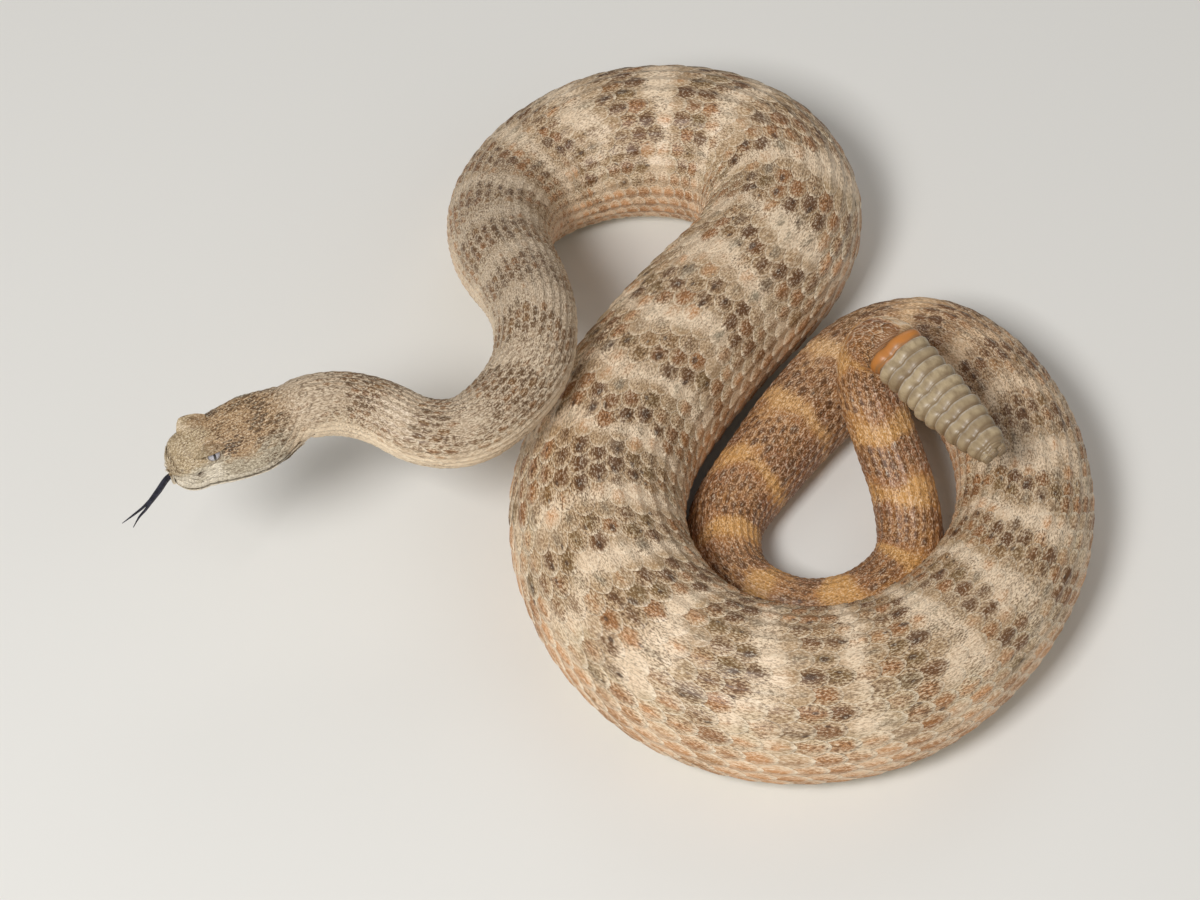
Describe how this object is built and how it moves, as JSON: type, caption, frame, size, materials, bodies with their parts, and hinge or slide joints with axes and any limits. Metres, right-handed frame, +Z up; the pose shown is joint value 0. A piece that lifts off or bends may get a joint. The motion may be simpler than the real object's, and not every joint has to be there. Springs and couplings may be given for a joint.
{
  "type": "tiger rattlesnake model",
  "caption": "Life-size still model of a tiger rattlesnake lying in loose bends, head and neck raised, tongue out, tail tip curled up to hold the rattle clear.",
  "frame": {"origin": "middle of the footprint's box, on the floor that the belly rests on", "axes": "+X to the right in the picture, the long way; +Y away from the camera; +Z up"},
  "size_m": [0.2213, 0.2058, 0.0616],
  "materials": {
    "skin": "dry keeled scales, satin",
    "eye": "wet gloss",
    "tongue": "moist satin",
    "horn": "dull horn"
  },
  "bodies": {
    "root": {"head": "skin", "left_eye": "eye", "right_eye": "eye", "tongue": "tongue", "neck": "skin", "forebody": "skin", "front_bend": "skin", "upper_trunk": "skin", "mid_trunk": "skin", "lower_coil": "skin", "right_coil": "skin", "hind_body": "skin", "tail": "skin", "rattle": "horn"}
  },
  "joints": []
}
